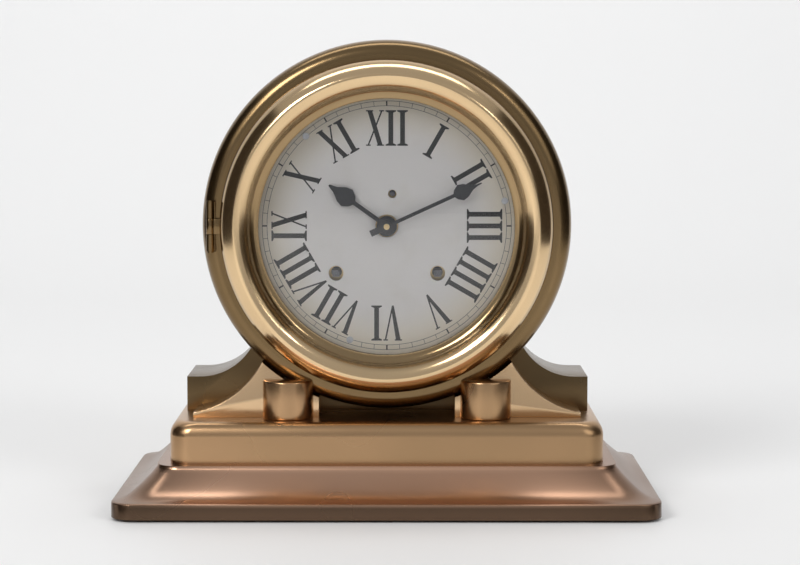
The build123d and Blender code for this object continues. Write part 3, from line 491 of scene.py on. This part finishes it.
plinthShape = {
    "halfWidth": 122.0,
    "halfDepth": 70.0,
    "corner": 9.0,
    "bottom": 1.2,
    "bandTop": 7.5,
    "edge": rounded(0.8, 0.8, 3) + [(1.2, 0.2)],
    "hollow": [
        (2.0, 0.35), (2.2, 0.8), (2.2, 1.35), (2.2, 1.75),
        (2.2, 2.0), (2.2, 2.1), (1.8, 1.9), (1.2, 1.4),
    ],
    "top": [(0.5, 0.9), (0.1, 0.9), (0.6, 0.05)],
}
stepShape = {
    "halfWidth": 98.0,
    "halfDepth": 46.0,
    "corner": 9.0,
    "bottom": 22.0,
    "bandTop": 34.0,
    "edge": rounded(4.5, 6.5, 10),
}
cornerReach = {"sameSide": 0.03, "minX": 0.05, "minY": 0.03, "minRise": 1e-6}  # metres


def isCorner(a, b, turn):
    oneSide = abs(abs(a.x) - abs(b.x)) < cornerReach["sameSide"]
    upright = abs(a.z - b.z) > cornerReach["minRise"]
    return oneSide and upright and abs(a.x) > cornerReach["minX"] and abs(a.y) > cornerReach["minY"]


# A rounded block whose top steps in by (run, rise) levels.
def moulded(name, shape, levels):
    bottom, bandTop = shape["bottom"], shape["bandTop"]
    deselect()
    bpy.ops.mesh.primitive_cube_add(size=1, location=(0, 0, (bottom + bandTop) / 2 * mm))
    obj = bpy.context.object
    obj.scale = (2 * shape["halfWidth"] * mm, 2 * shape["halfDepth"] * mm, (bandTop - bottom) * mm)
    bpy.ops.object.transform_apply(location=True, rotation=True, scale=True)
    edit(obj)
    bpy.ops.mesh.select_mode(type="FACE")
    mesh = bmesh.from_edit_mesh(obj.data)
    for face in mesh.faces:
        face.select = face.normal.z > 0.9  # the top
    mesh.select_flush_mode()
    bmesh.update_edit_mesh(obj.data)
    for run, rise in levels:
        bpy.ops.mesh.inset(thickness=max(run, 1e-4) * mm, depth=rise * mm, use_even_offset=True)
    pickEdges(obj, isCorner)
    bpy.ops.mesh.bevel(offset=shape["corner"] * mm, segments=8, profile=0.5, clamp_overlap=False)
    return finishPiece(obj, name, 28)


plinthLevels = plinthShape["edge"] + plinthShape["hollow"] + plinthShape["top"]
plinth = moulded("plinthMoulded", plinthShape, plinthLevels)
setPiece(plinth, "clock", "base_brass", plinthBronze, ("plinth",))
step = moulded("stepMoulded", stepShape, stepShape["edge"])
setPiece(step, "clock", "base_brass", stepBrass, ("upper_step",))
print("base made")

# Cradle

saddleShape = {
    "halfWidth": 93.5,
    "land": 6.0,
    "base": 40.5,
    "blockTop": 56.0,
    "shoulder": (62.5, 71.5),
    "shoulderSwell": 4.2,
    "back": 38.0,
    "front": -4.0,
    "soften": 0.8,
}
rampShape = {
    "foot": (88.5, 42.5),
    "top": (57.0, 65.5),
    "swell": 4.6,
    "inner": 31.0,
    "front": -28.0,
    "soften": 0.6,
}
corbelShape = {"x": 45.0, "y": -28.0, "radius": 11.5, "height": 17.5, "soften": 0.8}
seatRadius = 84.3


def seatPoint(x):
    return (x, dialHeight - math.sqrt(seatRadius**2 - x * x))


# Points of the round seat from x to endX.
def seatRun(x, endX, count):
    return [seatPoint(x + (endX - x) * i / count) for i in range(count + 1)]


def saddle():
    half, base, top = saddleShape["halfWidth"], saddleShape["base"], saddleShape["blockTop"]
    meetX = saddleShape["shoulder"][0]
    right = bow((half - saddleShape["land"], top), saddleShape["shoulder"], saddleShape["shoulderSwell"], 14)
    left = [(-x, z) for x, z in reversed(right)]
    outline = [(-half, base), (half, base), (half, top)] + right
    outline += seatRun(meetX, -meetX, 40) + left + [(-half, top)]
    piece = slab("cradleSaddle", outline, saddleShape["back"], saddleShape["front"], saddleShape["soften"], 3)
    setPiece(piece, "clock", "base_brass", saddleBrassPaintedShade, ("cradle",))


def ramp(name, side):
    base, inner = saddleShape["base"], rampShape["inner"]
    face = [(inner, base), (rampShape["foot"][0], base)]
    face += bow(rampShape["foot"], rampShape["top"], rampShape["swell"], 16)
    face += seatRun(rampShape["top"][0], inner, 16)
    outline = [(side * x, z) for x, z in face]
    piece = slab(name, outline, saddleShape["front"], rampShape["front"], rampShape["soften"], 3)
    setPiece(piece, "clock", "base_brass")


def corbel(name, side):
    middle = saddleShape["base"] + corbelShape["height"] / 2
    deselect()
    bpy.ops.mesh.primitive_cylinder_add(
        vertices=64,
        radius=corbelShape["radius"] * mm,
        depth=corbelShape["height"] * mm,
        location=(side * corbelShape["x"] * mm, corbelShape["y"] * mm, middle * mm),
    )
    piece = bpy.context.object
    edit(piece)
    softenEdges(piece, corbelShape["soften"], 3, 1.0)
    setPiece(finishPiece(piece, name), "clock", "base_brass", stepBrass)


saddle()
for side, end in ((-1, "Left"), (1, "Right")):
    ramp("ramp" + end, side)
    corbel("corbel" + end, side)
print("cradle made")

# Case, bezel and glass, as radii and depths from the dial's axis

drumShape = {
    "mouth": 62.0,
    "face": -30.0,
    "faceEdge": 77.2,
    "shoulder": (77.5, -21.5),
    "shoulderRun": 6.5,
    "shoulderRise": 8.5,
    "outer": 84.0,
    "back": 38.0,
    "backEdge": 0.8,
    "coverSeat": 77.5,
    "coverFront": 35.0,
    "bore": 80.5,
    "faceBack": -25.5,
    "ledge": 65.5,
    "ledgeBack": -13.3,
    "ledgeFront": -16.5,
    "ledgeBore": 57.6,
}


def drum():
    shape = drumShape
    x, y = shape["shoulder"]
    profile = [(shape["mouth"], shape["face"]), (shape["faceEdge"], shape["face"])]
    for degrees in range(-90, 1, 6):
        a = math.radians(degrees)
        profile.append((x + shape["shoulderRun"] * math.cos(a), y + shape["shoulderRise"] * math.sin(a)))
    profile += [
        (shape["outer"], shape["back"] - shape["backEdge"]),
        (shape["outer"] - shape["backEdge"], shape["back"]),
        (shape["coverSeat"], shape["back"]),
        (shape["coverSeat"], shape["coverFront"]),
        (shape["bore"], shape["coverFront"]),
        (shape["bore"], shape["faceBack"]),
        (shape["ledge"], shape["faceBack"]),
        (shape["ledge"], shape["ledgeBack"]),
        (shape["ledgeBore"], shape["ledgeBack"]),
        (shape["ledgeBore"], shape["ledgeFront"]),
        (shape["mouth"], shape["ledgeFront"]),
    ]
    return lathe("caseDrum", profile, 224)


bezelShape = {
    "rebate": 63.3,
    "back": -30.3,
    "outer": 75.0,
    "wallFront": -32.8,
    "crown": (68.5, -46.3),
    "crownSwell": 2.3,
    "slope": (62.5, -43.3),
    "slopeSwell": 0.9,
    "step": (61.9, -42.7),
    "lip": (57.5, -39.8),
    "lipHollow": -0.9,
    "glassFront": -37.8,
    "glassSeat": 60.5,
    "glassBack": -31.8,
}


def bezelRing():
    shape = bezelShape
    corner = (shape["outer"], shape["wallFront"])
    profile = [(shape["rebate"], shape["back"]), (shape["outer"], shape["back"]), corner]
    profile += bow(corner, shape["crown"], shape["crownSwell"], 16)[1:]
    profile += bow(shape["crown"], shape["slope"], shape["slopeSwell"], 8)[1:]
    profile += [shape["step"]]
    profile += bow(shape["step"], shape["lip"], shape["lipHollow"], 8)[1:]
    profile += [
        (shape["lip"][0], shape["glassFront"]),
        (shape["glassSeat"], shape["glassFront"]),
        (shape["glassSeat"], shape["glassBack"]),
        (shape["rebate"], shape["glassBack"]),
    ]
    return lathe("bezelRing", profile, 224)


leafShape = {"left": -79.6, "right": -73.6, "halfHeight": 3.5, "back": -31.3, "front": -33.1, "soften": 0.3}
knuckleShape = {"x": -79.6, "y": -32.2, "radius": 1.9, "length": 6.93, "soften": 0.2}


# The bezel's own hinge leaf and knuckle, left of nine o'clock.
def bezelHinge():
    low, high = dialHeight - leafShape["halfHeight"], dialHeight + leafShape["halfHeight"]
    left, right = leafShape["left"], leafShape["right"]
    outline = [(left, low), (right, low), (right, high), (left, high)]
    leaf = slab("bezelLeaf", outline, leafShape["back"], leafShape["front"], leafShape["soften"], 2)
    setPiece(leaf, "glazed_bezel", "case_brass", drumBrassPaintedShade)
    deselect()
    bpy.ops.mesh.primitive_cylinder_add(
        vertices=48,
        radius=knuckleShape["radius"] * mm,
        depth=knuckleShape["length"] * mm,
        location=(knuckleShape["x"] * mm, knuckleShape["y"] * mm, dialZ),
    )
    knuckle = bpy.context.object
    edit(knuckle)
    softenEdges(knuckle, knuckleShape["soften"], 2, 1.0)
    setPiece(finishPiece(knuckle, "bezelKnuckle"), "glazed_bezel", "case_brass", drumBrassPaintedShade)


glassShape = {"radius": 57.0, "edge": -37.8, "rise": 3.2, "thickness": 2.2, "rim": 60.4, "steps": 24}


def domedGlass():
    edge, rise, thickness = glassShape["edge"], glassShape["rise"], glassShape["thickness"]
    shares = [k / glassShape["steps"] for k in range(1, glassShape["steps"] + 1)]
    front = [(glassShape["radius"] * share, edge - rise * (1 - share**2)) for share in shares]
    back = [(r, y + thickness) for r, y in reversed(front)]
    rim = [(glassShape["rim"], edge), (glassShape["rim"], edge + thickness)]
    profile = [(0.0, edge - rise)] + front + rim + back + [(0.0, edge - rise + thickness)]
    return lathe("domedGlass", profile, 160, closed=False)


setPiece(drum(), "clock", "case_brass", drumBrassPaintedShade, ("case_drum",))
setPiece(bezelRing(), "glazed_bezel", "case_brass", bezelBrass, ("bezel",))
bezelHinge()
setPiece(domedGlass(), "glazed_bezel", "clear_glass", None, ("glass",))
print("case made")

# Numerals and minute track

dialFront = -27.0
numeralShape = {
    "words": ["XII", "I", "II", "III", "IIII", "V", "VI", "VII", "VIII", "IX", "X", "XI"],
    "height": 16.0,
    "inner": 36.2,
    "ink": 0.12,
    "lift": 0.012,  # keeps crossing strokes from lying in one plane
}
strokeShape = {"serif": 0.035, "thick": 0.135, "thin": 0.045}  # shares of the height


def glyphI(h, serif, thick):
    w, t = 0.15 * h, thick / 2
    right = [(w, 0), (w, serif), (t, serif * 2), (t, h - serif * 2), (w, h - serif), (w, h)]
    left = [(-x, z) for x, z in reversed(right)]
    return [[left[-1]] + right + left[:-1]], 0.33 * h


def glyphV(h, serif, thick, thin):
    w = 0.23 * h
    under = h - serif
    return [
        [(-w, h), (-w + thick, h), (0.03 * h, 0.16 * h), (0.0, 0.0), (-0.03 * h, 0.0)],
        [(w, h), (w - thin, h), (-0.02 * h, 0.0), (0.02 * h, 0.0)],
        [(-w - serif, under), (-w + thick + serif, under), (-w + thick + serif, h), (-w - serif, h)],
        [(w - thin - serif * 1.5, under), (w + serif, under), (w + serif, h), (w - thin - serif * 1.5, h)],
    ], 0.58 * h


def glyphX(h, serif, thick, thin):
    w = 0.22 * h
    feet = []
    for x0, x1 in ((-w - serif, -w + thick + serif), (w - thin - serif * 1.5, w + serif)):
        feet.append([(x0, h - serif), (x1, h - serif), (x1, h), (x0, h)])
        feet.append([(-x1, 0), (-x0, 0), (-x0, serif), (-x1, serif)])
    heavy = [(-w, h), (-w + thick, h), (w, 0), (w - thick, 0)]
    light = [(w, h), (w - thin, h), (-w, 0), (-w + thin, 0)]
    return [heavy, light, *feet], 0.56 * h


# One numeral's outlines, its foot at 0, and its width.
def glyph(letter):
    h = numeralShape["height"]
    serif, thick, thin = (strokeShape[key] * h for key in ("serif", "thick", "thin"))
    if letter == "I":
        return glyphI(h, serif, thick)
    if letter == "V":
        return glyphV(h, serif, thick, thin)
    return glyphX(h, serif, thick, thin)


# A point u across and v out from the dial's centre, turned to its hour.
def onDial(u, v, turn):
    return (u * math.cos(turn) + v * math.sin(turn), dialHeight + v * math.cos(turn) - u * math.sin(turn))


def numerals():
    made = []
    for hour, word in enumerate(numeralShape["words"]):
        shapes = [glyph(letter) for letter in word]
        at = -sum(width for outlines, width in shapes) / 2
        turn = math.radians(30 * hour)
        for outlines, width in shapes:
            for layer, outline in enumerate(outlines):
                points = [onDial(at + width / 2 + x, numeralShape["inner"] + z, turn) for x, z in outline]
                lift = numeralShape["lift"] * (layer % 3)
                made.append(slab("stroke", points, dialFront, dialFront - numeralShape["ink"] - lift))
            at += width
    return joined(made, "romanNumerals")


trackShape = {
    "radius": 55.3,
    "halfGap": 1.1,
    "halfLine": 0.09,
    "halfHourLine": 0.32,
    "ringInk": 0.08,
    "tickInk": 0.1,
}


def trackRing(radius):
    inner, outer = radius - trackShape["halfLine"], radius + trackShape["halfLine"]
    front = dialFront - trackShape["ringInk"]
    return lathe("trackRing", [(inner, dialFront), (outer, dialFront), (outer, front), (inner, front)], 144)


def trackTicks(count, half):
    low = dialHeight + trackShape["radius"] - trackShape["halfGap"]
    high = dialHeight + trackShape["radius"] + trackShape["halfGap"]
    outline = [(-half, low), (half, low), (half, high), (-half, high)]
    tick = slab("tick", outline, dialFront, dialFront - trackShape["tickInk"])
    edit(tick)
    bpy.ops.mesh.select_all(action="SELECT")
    bpy.ops.mesh.spin(steps=count, angle=2 * math.pi, center=axisPoint, axis=(0, 1, 0), dupli=True)
    return finishPiece(tick, "tick")


def track():
    made = [
        trackRing(trackShape["radius"] - trackShape["halfGap"]),
        trackRing(trackShape["radius"] + trackShape["halfGap"]),
        trackTicks(60, trackShape["halfLine"]),
        trackTicks(12, trackShape["halfHourLine"]),
    ]
    return joined(made, "minuteTrack")


setPiece(numerals(), "clock", "dial_silver", ink)
setPiece(track(), "clock", "dial_silver", ink)
print("dial made")

# Studio

floorShape = {"front": -4.0, "wall": 1.9, "bend": 1.0, "top": 5.0, "halfWidth": 4.0}
floorColour = (0.87, 0.865, 0.855)


def paleWall(name, colour):
    made, spot, shader = material(name, {"Metallic": 0.0, "Roughness": 0.55})
    cloud = spot.noise(0.8, 2.0)
    feed(cloud.mixed(colour, tuple(0.98 * c for c in colour)), shader, "Base Color")
    return made


# A floor that bends up into the wall behind, so no line shows between them.
def sweptFloor():
    bend, halfWidth = floorShape["bend"], floorShape["halfWidth"]
    path = [(floorShape["front"], 0.0)]
    for degrees in range(0, 91, 5):
        a = math.radians(degrees)
        path.append((floorShape["wall"] - bend + bend * math.sin(a), bend - bend * math.cos(a)))
    path.append((floorShape["wall"], floorShape["top"]))
    obj = startPath([(-halfWidth, y, z) for y, z in path])
    bpy.ops.mesh.select_all(action="SELECT")
    bpy.ops.mesh.extrude_region_move(TRANSFORM_OT_translate={"value": (2 * halfWidth, 0, 0)})
    return finishPiece(obj, "floor", 40)


floor = sweptFloor()
floor.data.materials.append(paleWall("paleFloor", floorColour))

cardShape = {"y": -0.30, "z": 0.3, "height": 1.1, "depth": 1.5, "shade": (0.03, 0.022, 0.015, 1)}


# A card the brass reflects; it is not seen and throws no shadow.
def card(name, x):
    deselect()
    bpy.ops.mesh.primitive_plane_add(
        size=1, location=(x, cardShape["y"], cardShape["z"]), rotation=(0, math.pi / 2, 0)
    )
    obj = bpy.context.object
    obj.scale = (cardShape["height"], cardShape["depth"], 1)
    obj.name = name
    made, spot, shader = material(name, {"Metallic": 0.0, "Roughness": 1.0, "Base Color": cardShape["shade"]})
    obj.data.materials.append(made)
    obj.visible_camera = False
    obj.visible_shadow = False
    obj.visible_diffuse = False


lamps = {
    "keyLeft": {"place": (-1.2, -1.6, 1.4), "target": (0, 0, 0.1), "size": (0.9, 0.9), "power": 27},
    "keyRight": {"place": (1.4, -1.4, 1.1), "target": (0, 0, 0.1), "size": (0.7, 0.7), "power": 12},
    "backWash": {"place": (0, 0.5, 2.2), "target": (0, 1.8, 0.8), "size": (2.4, 0.8), "power": 20},
}


def lamp(name, settings):
    light = bpy.data.lights.new(name, "AREA")
    light.shape = "RECTANGLE"
    light.size, light.size_y = settings["size"]
    light.energy = settings["power"]
    obj = bpy.data.objects.new(name, light)
    bpy.context.collection.objects.link(obj)
    obj.location = settings["place"]
    aim = Vector(settings["target"]) - Vector(settings["place"])
    obj.rotation_euler = aim.to_track_quat("-Z", "Y").to_euler()


card("darkLeft", -0.75)
card("darkRight", 0.75)
for name, settings in lamps.items():
    lamp(name, settings)

worldLook = {"colour": (0.86, 0.88, 0.92, 1), "strength": 0.45}
world = bpy.data.worlds.new("studio")
bpy.context.scene.world = world
world.use_nodes = True
world.node_tree.nodes["Background"].inputs["Color"].default_value = worldLook["colour"]
world.node_tree.nodes["Background"].inputs["Strength"].default_value = worldLook["strength"]
print("studio made")

# Camera

cameraShape = {"place": (0.0087, -1.0, 0.1904), "pitch": -5.18, "yaw": -0.16, "lens": 96.75, "sensor": 36}
cameraData = bpy.data.cameras.new("camera")
cameraData.lens = cameraShape["lens"]
cameraData.sensor_width = cameraShape["sensor"]
camera = bpy.data.objects.new("camera", cameraData)
camera.location = cameraShape["place"]
camera.rotation_euler = (math.radians(90 + cameraShape["pitch"]), 0, math.radians(-cameraShape["yaw"]))
bpy.context.collection.objects.link(camera)
bpy.context.scene.camera = camera
bpy.context.scene.view_settings.view_transform = "Standard"

print("scene made")
